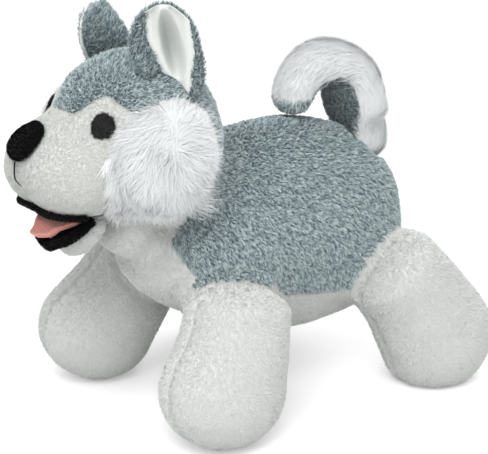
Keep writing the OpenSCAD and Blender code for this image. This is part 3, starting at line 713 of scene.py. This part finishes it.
def melted(nodes, wad):
    """One closed skin round the swollen fillings and, if one is given, a ball of wadding."""
    both = cad_mesh(*nodes)
    if wad:
        middle, size = wad
        ball = bmesh.ops.create_icosphere(both, subdivisions=3, radius=1)["verts"]
        bmesh.ops.scale(both, vec=size, verts=ball)
        bmesh.ops.translate(both, vec=middle, verts=ball)
    both.normal_update()
    for vert in both.verts:
        vert.co += vert.normal * (swell + fold_room)
    rough = piece("rough", both)
    melt = rough.modifiers.new("melt", "REMESH")
    melt.mode = "VOXEL"
    melt.voxel_size = melt_grain
    skin = bmesh.new()
    skin.from_mesh(rough.evaluated_get(bpy.context.evaluated_depsgraph_get()).data)
    bpy.data.objects.remove(rough)
    return skin


def averaged(skin, values, times):
    """One value for each corner, averaged with its neighbours' that many times."""
    ends = np.array([[vert.index for vert in edge.verts] for edge in skin.edges]).T
    for _ in range(times):
        total, number = values.copy(), np.ones(len(values))
        for here, there in (ends, ends[::-1]):
            np.add.at(total, here, values[there])
            np.add.at(number, here, 1)
        values = total / number
    return values


def joining_cloth(name, nodes, body_side, limb_side, body, limb, reach, melts=8,
                  grey_limb=False, wad=None, border=1.5 * mm):
    """The cloth that covers the fold where a limb is sewn into the body.
    The swollen fillings are melted into one, and what lies near both cloths is kept."""
    skin = melted(nodes, wad)
    near_body, near_limb = BVHTree.FromBMesh(body_side), BVHTree.FromBMesh(limb_side)

    def gaps(point):
        return near_body.find_nearest(point)[3], near_limb.find_nearest(point)[3]

    def outside(point):
        """How far the point lies from the fold, beyond the swelling."""
        away = max(gaps(point))
        if wad:
            middle, size = wad
            q = [(point[i] - middle[i]) / size[i] for i in range(3)]
            away = min(away, (Vector(q).length - 1) * min(size))
        return away - swell

    far = [vert for vert in skin.verts if outside(vert.co) > reach]
    bmesh.ops.delete(skin, geom=far, context="VERTS")
    rim = {vert for edge in skin.edges if edge.is_boundary for vert in edge.verts}
    soften(skin, lambda vert: vert not in rim, melts)
    skin.normal_update()
    moved = []
    for vert in skin.verts:
        to_rim = min(1.0, max(0.0, outside(vert.co)) / reach) ** 2
        inward = vert.co - vert.normal * (min(*gaps(vert.co), swell) - clearance)
        held = min(near_body.find_nearest(vert.co), near_limb.find_nearest(vert.co),
                   key=lambda found: found[3])
        moved.append(inward.lerp(held[0] - held[1] * tuck, to_rim))
    for vert, place in zip(skin.verts, moved):
        vert.co = place
    soften(skin, lambda vert: vert not in rim, 3)
    skin.verts.index_update()
    nearer = averaged(skin, np.array([np.subtract(*gaps(vert.co)) for vert in skin.verts]), 10)
    body_panel, limb_panel = ([face.material_index for face in cloth.faces]
                              for cloth in (body_side, limb_side))
    for face in skin.faces:
        middle = face.calc_center_median()
        on_body, on_limb = near_body.find_nearest(middle), near_limb.find_nearest(middle)
        if sum(nearer[vert.index] for vert in face.verts) < border * len(face.verts):
            saddle = body_panel[on_body[2]] in (0, 1) or is_flank(middle)
            grey = saddle and not is_bib(middle)
        else:
            grey = grey_limb and limb_panel[on_limb[2]] in (0, 1)
        face.material_index = 0 if grey else 1
        face.smooth = True
    skin.normal_update()

    places = np.array([vert.co for vert in skin.verts])
    centre = places.mean(0)
    across = np.linalg.svd(places - centre)[2][2]
    low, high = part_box(nodes[1])
    across *= np.sign(across @ (np.array((low + high) / 2) - centre))
    start = Vector(centre - across * bend_half_mm * mm)
    end = Vector(centre + across * bend_half_mm * mm)
    kinds = (("grey", grey_ground, grey_yarn, grey_tufts),
             ("white", white_ground, white_yarn, white_tufts))
    for number, (part, ground, yarn, tufts) in enumerate(kinds):
        half = cut_out(skin, number)
        if not half.faces:
            half.free()
            continue
        grown_on = half.copy()
        join = piece(f"{name}_{part}_join", half, ground)
        thicken(join, join_thickness)
        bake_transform(join)
        pile(f"{name}_{part}_pile", grown_on, (body, limb, start, end), yarn,
             lay=combed_down, **tufts)
    skin.free()


for leg in legs:
    panels = (f"{leg}_outer", f"{leg}_inner")
    sleeve = outer_cloth(panels, [f"{leg}_stuffing", f"{leg}_beans"])
    tailor(sleeve, sink=0.9 * mm, valley=2.0 * mm, valley_half=2.3 * mm,
           pucker=1.1 * mm, crease=0.8 * mm)
    for vert in sleeve.verts:
        vert.co.z = max(vert.co.z, sole_height)
    joining_cloth(f"{leg}_hip", ("body_stuffing", f"{leg}_stuffing"), body_shell, sleeve,
                  "torso", f"{leg}_leg", reach=10 * mm)
    leg_surface = cut_panels(sleeve, panels, f"{leg}_leg", (white_ground, white_ground))
    for panel, tufts in zip(panels, (white_tufts, thin_tufts)):
        fur = pile(panel + "_pile", leg_surface[panel], f"{leg}_leg", white_yarn,
                   lay=(0, 0.2, -1), **tufts)
        for vert in fur.data.vertices:
            vert.co.z = max(vert.co.z, ground_height)


# ---- Tail ----
# A stuffed curl: grey curly pile in its hollow, long soft white fur outside and at the tip.
# It is sewn from a long outer and a narrow inner panel, which draws it into the curl.

# The long fur's root colour is lighter than its tufts: painted light, which cancels the shade down
# in the fur.
long_yarn = pile_finish("long_white_fur", "long_white_fur",
                        srgb(236, 238, 239), srgb(222, 225, 225), srgb(236, 239, 239), 0.9, 0.2)
long_fur = {"per_square": 2.2, "length": 12 * mm, "width": 0.4 * mm, "rise": (28, -8),
            "wander": 20, "joints": 3, "clump": 6 * mm, "tangle": 0.4, "uneven": 0.2,
            "soft": 0.22}
brush_fur = {**long_fur, "per_square": 1.9, "rise": (20, -3), "tangle": 0.5}
brush_wisps = {**long_fur, "per_square": 0.15, "length": 9 * mm, "width": 0.25 * mm,
               "rise": (40, 12), "wander": 40}

tail_panels = ("tail_back", "tail_brush")
tail_cloth = outer_cloth(tail_panels, ["tail_stuffing"])
tailor(tail_cloth, sink=2.4 * mm, valley=0.6 * mm, valley_half=2.0 * mm)
tail_surface = cut_panels(tail_cloth, tail_panels, "tail", (grey_ground, white_ground))

curl_radius = 26 * mm
stem_length = 20 * mm
grey_tip_height = 12 * mm
long_tuft_mm, tip_cut_mm, tip_length = 10, 6, 14 * mm
stem_low, stem_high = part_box("tail_back")
curl_middle = Vector((0, (stem_low.y + stem_high.y) / 2, stem_high.z - curl_radius))


def along_tail(root):
    """Up the stem and on round the curl."""
    around = root - np.array(curl_middle)
    way = np.stack([np.zeros(len(root)), -around[:, 2], around[:, 1]], axis=1)
    way /= np.linalg.norm(way, axis=1, keepdims=True)
    behind = root[:, 1] > curl_middle.y
    on_stem = ((curl_middle.z - root[:, 2]) / stem_length).clip(0, 1) * behind
    return way * (1 - on_stem)[:, None] + np.array([0, -0.25, 1.0]) * on_stem[:, None]


def is_hollow(place):
    """Whether the place is in the hollow of the curl, or under the tip, where the grey shows."""
    around = place - curl_middle
    around.x = 0
    tip = around.y < 0 and around.z < grey_tip_height
    return tip or around.length < curl_radius - 1.3 * max(0, around.y)


def brush_length(root):
    """Shorter tufts at the tip."""
    ahead = root[:, 1] < curl_middle.y
    to_tip = ((curl_middle.z + curl_radius - root[:, 2]) / tip_length).clip(0, 1) * ahead
    return (long_tuft_mm - tip_cut_mm * to_tip) * mm


second_ground("tail_brush", grey_ground, is_hollow)
brush = tail_surface["tail_brush"]
pile("tail_back_pile", tail_surface["tail_back"], "tail", grey_yarn,
     lay=along_tail, **grey_tufts)
pile("tail_hollow_pile", brush.copy(), "tail", grey_yarn,
     lay=along_tail, only=is_hollow, **grey_tufts)
pile("tail_wisps", brush.copy(), "tail", long_yarn,
     lay=along_tail, only=not_on(is_hollow), **brush_wisps)
pile("tail_brush_fur", brush, "tail", long_yarn,
     lay=along_tail, only=not_on(is_hollow), **{**brush_fur, "length": brush_length})


# ---- Head cloth ----
# A grey crown in two halves, peaked down the forehead, over a white face in two halves. A
# white panel closes the head against the neck, and black cloth lines the open mouth.

# The face's pile is the same white short pile, painted darker: painted shade on the face, which
# the lamps light more.
face_yarn_painted_darker = pile_finish("white_face_pile_painted_darker", "white_pile",
                        srgb(190, 192, 187), srgb(194, 196, 191), srgb(213, 215, 210))
face_tufts = {**white_tufts, "tangle": 0.5, "per_square": 2.0, "length": 1.9 * mm}
throat_fur = {**long_fur, "per_square": 1.1, "length": 8 * mm}

head_panels = ("crown_left", "crown_right", "face_left", "face_right")
head_cloth = outer_cloth(head_panels, ["head_stuffing"])
tailor(head_cloth, sink=1.0 * mm, valley=0.9 * mm, valley_half=1.8 * mm, crease=0.7 * mm)
forehead = 28 * mm
peak = min((vert.co for vert in frame["nodes"]["crown_left"].data.vertices),
           key=lambda place: place.y)
soften(head_cloth, lambda vert: (vert.co - peak).length < forehead, 12)
head_cloth.normal_update()
throat = tailor(outer_cloth(["throat_panel"], ["head_stuffing"]), 1.0 * mm, 0, 2 * mm)
lining = tailor(outer_cloth(["mouth_lining"], ["head_stuffing"]), 0.3 * mm, 0, 2 * mm,
                crease=0.3 * mm)

head_shell = head_cloth.copy()
for cloth in (throat, lining):
    for face in cloth.faces:
        face.material_index = 3
    shape = bpy.data.meshes.new("side")
    cloth.to_mesh(shape)
    head_shell.from_mesh(shape)
    for face in cloth.faces:
        face.material_index = 0
neck_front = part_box("body_stuffing")[0].y - 10 * mm
throat_wad = Vector((0, neck_front, 142 * mm)), Vector((28 * mm, 13 * mm, 20 * mm))
joining_cloth("neck", ("body_stuffing", "head_stuffing"), body_shell, head_shell, "torso",
              "head", reach=14 * mm, melts=14, grey_limb=True, wad=throat_wad, border=0)

cheek_low, cheek_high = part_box("cheek_left")
cheek_middle = (cheek_low + cheek_high) / 2
jowl_ahead = 48 * mm
jowl_slope_up, jowl_slope_down = 1.9, -0.31


def is_jowl(place):
    """Whether the place is behind the line from the eye to the throat where long fur starts."""
    rise = place.z - cheek_middle.z
    slope = jowl_slope_up if rise > 0 else jowl_slope_down
    return place.y > cheek_middle.y - jowl_ahead + slope * rise


head_surface = cut_panels(head_cloth, head_panels, "head",
                          (grey_ground, grey_ground, white_ground, white_ground))
for side in ("left", "right"):
    jowl = head_surface[f"face_{side}"].copy()
    pile(f"crown_{side}_pile", head_surface[f"crown_{side}"], "head", grey_yarn, **grey_tufts)
    pile(f"face_{side}_pile", head_surface[f"face_{side}"], "head", face_yarn_painted_darker,
         lay=(0, 1, -0.3), only=not_on(is_jowl), **face_tufts)
    pile(f"jowl_{side}_fur", jowl, "head", long_yarn,
         lay=(0, -0.35, -1), only=is_jowl, **long_fur)

throat_surface = cut_panels(throat, ["throat_panel"], "head", [white_ground])
pile("throat_panel_fur", throat_surface["throat_panel"], "head", long_yarn,
     lay=(0, 0.2, -1), **throat_fur)

black_cloth = backing("black_lining", "black_cloth",
                      srgb(8, 8, 9), srgb(24, 24, 25), size=0.7 * mm, depth=0.3 * mm)
lip_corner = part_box("lower_lip")[1]


def is_outside(place):
    """Whether the place on the lining is past the corners of the lips."""
    return abs(place.x) > lip_corner.x - 1 * mm or place.y > lip_corner.y


for face in lining.faces:
    face.material_index = 1 if is_outside(face.calc_center_median()) else 0
behind_lips = lining.copy()
lining_cover = piece("mouth_lining_cloth", lining, black_cloth, white_ground)
thicken(lining_cover, cloth_thickness)
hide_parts("mouth_lining")
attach(lining_cover, "head")
pile("behind_lips_pile", behind_lips, "head", white_yarn,
     lay=(0, 1, -0.3), only=is_outside, **white_tufts)


# ---- Cheeks ----
# A pad of long white fur on each side of the head. The fur is brushed away from the middle
# of the pad's front edge: up and back at the top, back, and down at the bottom.

fur_ground = backing("long_fur_ground", "long_white_fur",
                     srgb(214, 217, 217), srgb(226, 229, 229), size=1.5 * mm, depth=0.3 * mm)
pad_long, pad_tall = 0.90, 0.92
pad_ahead, pad_lower = 3 * mm, 2 * mm
pad_flatter_mm, pad_half = 2.0, 12 * mm
pad_dents_mm, pad_dent_size = 2.2, 17 * mm
hem_height = 16 * mm
tuft_least, tuft_ahead_mm, tuft_below_mm = 10 * mm, 11, 15

for side, outward in (("left", 1), ("right", -1)):
    pad = cad_mesh(f"cheek_{side}")
    quads(pad)
    pad = rounded(pad)
    low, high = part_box(f"cheek_{side}")
    middle = (low + high) / 2
    for vert in pad.verts:
        vert.co.y = middle.y + (vert.co.y - middle.y) * pad_long - pad_ahead
        vert.co.z = middle.z + (vert.co.z - middle.z) * pad_tall - pad_lower
        out = max(0, (vert.co.x - middle.x) * outward / pad_half)
        vert.co.x -= outward * pad_flatter_mm * mm * out
        vert.co.x -= outward * pad_dents_mm * mm * (0.6 + lumps(vert.co, pad_dent_size))
    pad.normal_update()
    outer = pad.copy()
    inner = [face for face in outer.faces if face.normal.x * outward < -0.5]
    bmesh.ops.delete(outer, geom=inner, context="FACES")
    cheek = piece(f"cheek_{side}_pad", pad, fur_ground)
    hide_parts(f"cheek_{side}")
    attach(cheek, "head")
    parting = np.array([middle.x, middle.y - 8 * mm, middle.z + 6 * mm])

    def brushed(root, parting=parting):
        way = (root - parting) * np.array([0, 1.7, 0.7])
        way = way / (np.linalg.norm(way, axis=1, keepdims=True) + 6 * mm)
        way = way + np.array([0, 0, -0.2])
        way[:, 2] -= 0.45 * (root[:, 1] < parting[1])
        return way

    def combed(root, start=parting[1], end=low.y, hem=low.z + hem_height):
        """Longer tufts towards the front and the bottom, to hang over the face and the neck."""
        ahead = ((start - root[:, 1]) / (start - end)).clip(0, 1)
        below = ((hem - root[:, 2]) / hem_height).clip(0, 1)
        return tuft_least + np.maximum(tuft_ahead_mm * ahead, tuft_below_mm * below) * mm

    cheek_tufts = {**long_fur, "lay": brushed, "tangle": 0.6, "uneven": 0.3, "clump": 8 * mm}
    wisps = {**cheek_tufts, "length": 12 * mm, "per_square": 0.3, "width": 0.3 * mm,
             "rise": (60, 18), "wander": 50}
    fur = {**cheek_tufts, "length": combed, "per_square": 3.2, "rise": (36, -6),
           "wander": 32, "soft": 0.16}
    pile(f"cheek_{side}_wisps", outer.copy(), "head", long_yarn, **wisps)
    pile(f"cheek_{side}_fur", outer, "head", long_yarn, **fur)


# ---- Ears ----
# Two leaves of cloth each, sewn together round the edge and folded into a cup. Behind is grey
# pile, which comes round the front edge; in front is smooth white cloth with a soft rolled rim.

# Painted shade: the white velour darkens to grey in the hollow of the cup, most by its front edge,
# as the corners' hollow attribute says.
white_velour = Finish("white_velour", "white_lining", roughness=0.95, sheen=0.2, specular=0.1)
nap = white_velour.noise(0.8 * mm, 3)
painted_hollow_shade = white_velour.add("ShaderNodeAttribute", {"attribute_name": "hollow"}, output="Fac")
rim_colour = white_velour.ramp(nap, srgb(208, 211, 207), srgb(222, 225, 221), 0.3, 0.7)
white_velour.dye(white_velour.mix(painted_hollow_shade, rim_colour, (*srgb(152, 159, 157), 1)))
white_velour.bump(nap, 0.25 * mm)

ear_turn = math.radians(60)
cup_depth, cup_half = 10 * mm, 23 * mm
back_half, lining_half = 12 * mm, 7 * mm
rim_rise, rim_half = 2.2 * mm, 3 * mm

for side, outward in (("left", 1), ("right", -1)):
    back_node, lining_node = f"{side}_ear_back", f"{side}_ear_lining"
    low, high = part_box(back_node)
    facing = Vector((math.sin(ear_turn) * outward, -math.cos(ear_turn), 0))
    along = Vector((math.cos(ear_turn) * outward, math.sin(ear_turn), 0))
    base = (low + high) / 2

    def in_cup(place, width, base=base, along=along, high=high):
        """How far across the ear a point is, where the white starts and ends there, how deep in
        the hollow it is, and how much of the painted shade of the hollow it keeps, most by its
        front edge."""
        across = (place - base).dot(along)
        down = high.z - place.z
        front = -13 * mm + 0.44 * max(0, down - 20 * mm)
        rear = 17 * mm - 0.12 * abs(down - 32 * mm)
        middle = -2 * mm + 0.2 * down
        off = ((across - middle) / width) ** 2 + ((down - 25 * mm) / cup_half) ** 2
        fade = 1 - 0.7 * min(1, max(0, (across - middle) / width + 0.4))
        return across, front, rear, max(0.0, 1 - off), fade

    leaves = ((back_node, lining_node, back_half), (lining_node, back_node, lining_half))
    for node, other, width in leaves:
        tree = BVHTree.FromBMesh(cad_mesh(other))
        leaf = cad_mesh(node)
        quads(leaf)
        leaf = rounded(leaf)
        leaf.normal_update()
        showing = []
        for face in leaf.faces:
            middle = face.calc_center_median()
            away = middle - tree.find_nearest(middle)[0]
            face.material_index = 0
            if away.dot(face.normal) >= 0.3 * away.length:
                showing.append(face.index)
                across, front, rear, *_ = in_cup(middle, width)
                if node == lining_node and not front < across < rear:
                    face.material_index = 1
        # The hollow attribute holds the painted shade for each corner of the cup.
        dark = leaf.verts.layers.float.new("hollow")
        for vert in leaf.verts:
            across, front, rear, hollow, fade = in_cup(vert.co, width)
            vert[dark] = hollow ** 0.5 * fade
            vert.co -= facing * cup_depth * hollow
            if node == lining_node:
                inside = min(across - front, rear - across)
                vert.co += facing * rim_rise * math.exp(-((inside - rim_half) / rim_half) ** 2)
        leaf.normal_update()
        outer = leaf.copy()
        outer.faces.ensure_lookup_table()
        grey = {outer.faces[i] for i in showing
                if node == back_node or outer.faces[i].material_index == 1}
        bare = [face for face in outer.faces if face not in grey]
        bmesh.ops.delete(outer, geom=bare, context="FACES")
        finishes = (grey_ground,) if node == back_node else (white_velour, grey_ground)
        ear = piece(node + "_cloth", leaf, *finishes)
        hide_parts(node)
        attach(ear, f"{side}_ear")
        pile(node + "_pile", outer, f"{side}_ear", grey_yarn, lay=(0, 0.3, 1), **grey_tufts)


# ---- Lower jaw ----
# A small stuffed pad of white cloth with black cloth inside, a padded black lip round its
# rim and a pink felt tongue sewn in at the back.

jaw_panels = ("chin_panel", "mouth_floor")
jaw_cloth = outer_cloth(jaw_panels, ["jaw_stuffing"])
tailor(jaw_cloth, sink=0.5 * mm, valley=0.3 * mm, valley_half=2 * mm, crease=0.3 * mm)
jaw_surface = cut_panels(jaw_cloth, jaw_panels, "lower_jaw", (white_ground, black_cloth))
pile("chin_panel_pile", jaw_surface["chin_panel"], "lower_jaw", white_yarn,
     lay=(0, 1, -0.3), **white_tufts)


def padded_trim(node, body, finish):
    """A sewn-on trim in the shape of its solid, rounded off."""
    trim = cad_mesh(node)
    quads(trim)
    made = piece(node + "_trim", rounded(trim), finish)
    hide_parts(node)
    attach(made, body)
    return made


felt = Finish("pink_felt", "pink_felt", roughness=0.95, sheen=0.4, specular=0.1)
fuzz = felt.noise(0.9 * mm, 5)
felt.dye(felt.ramp(fuzz, srgb(196, 118, 106), srgb(226, 160, 148), 0.3, 0.7))
felt.bump(fuzz, 0.3 * mm)

root_wider = 0.55
root_tucked, tip_drawn = 8 * mm, 5 * mm
tip_lift = 1.2 * mm
tongue = padded_trim("tongue", "lower_jaw", felt)
tongue_low, tongue_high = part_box("tongue")
for vert in tongue.data.vertices:
    tip = (tongue_high.y - vert.co.y) / (tongue_high.y - tongue_low.y)
    vert.co.x *= 1 + root_wider * (1 - tip)
    vert.co.y += root_tucked * (1 - tip) - tip_drawn * tip ** 2
    vert.co.z += tip_lift * tip

black_plush = backing("black_plush", "black_stitching",
                      srgb(6, 6, 7), srgb(20, 20, 21), size=0.5 * mm, depth=0.4 * mm)
black_yarn = pile_finish("black_plush_pile", "black_stitching",
                         srgb(4, 4, 5), srgb(6, 6, 7), srgb(24, 24, 25), 0.95, 0.0, 0.04)
black_tufts = {"per_square": 3.5, "length": 1.9 * mm, "width": 0.45 * mm, "rise": (72, 15),
               "wander": 180, "joints": 2, "clump": 2.5 * mm, "tangle": 1.0, "uneven": 0.4}


def plush_trim(node, body, sink, yarn=black_yarn, tufts=black_tufts):
    """A padded trim covered with black plush, or with the yarn and tufts given."""
    trim = padded_trim(node, body, black_plush)
    for vert, up in zip(trim.data.vertices, [v.normal.copy() for v in trim.data.vertices]):
        vert.co -= up * sink
    outside = bmesh.new()
    outside.from_mesh(trim.data)
    outside.normal_update()
    pile(node + "_pile", outside, body, yarn, **tufts)
    return trim


plush_trim("lower_lip", "lower_jaw", 0.6 * mm)


# ---- Nose, eyes and lips ----
# A stuffed nose and a bound upper lip of black plush, flat discs of black stitches for the
# eyes, and a line of stitches from the nose to the lip.

plush_trim("nose", "head", 1.0 * mm)
plush_trim("upper_lip", "head", 0.2 * mm)

eye_yarn = pile_finish("eye_stitches", "black_stitching",
                       srgb(10, 10, 11), srgb(14, 14, 15), srgb(66, 68, 66), 0.8, 0.0, 0.08)
eye_stitches = {**black_tufts, "per_square": 5.0, "length": 2.2 * mm, "rise": (24, -4)}
for node in ("left_eye", "right_eye"):
    plush_trim(node, "head", 0.4 * mm, eye_yarn, eye_stitches)

stitches = Finish("black_stitches", "black_stitching", roughness=0.75, sheen=0.0, specular=0.12)
twist = stitches.add("ShaderNodeTexWave", {"bands_direction": "Z"},
                     {"Vector": stitches.place(), "Scale": 1 / (4.4 * mm),
                      "Distortion": 3.0, "Detail": 2.0})
stitches.dye(stitches.ramp(twist, srgb(10, 10, 11), srgb(38, 38, 39)))
stitches.bump(twist, 0.35 * mm)

thread_sink, thread_back = 0.5 * mm, 3.5 * mm
thread = padded_trim("nose_stitch", "head", stitches)
thread_low, thread_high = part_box("nose_stitch")
for vert, up in zip(thread.data.vertices, [v.normal.copy() for v in thread.data.vertices]):
    down = (thread_high.z - vert.co.z) / (thread_high.z - thread_low.z)
    vert.co -= up * thread_sink
    vert.co.y += thread_back * min(1, max(0, down - 0.4) / 0.2)

for low, high in (cad_box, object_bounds()):
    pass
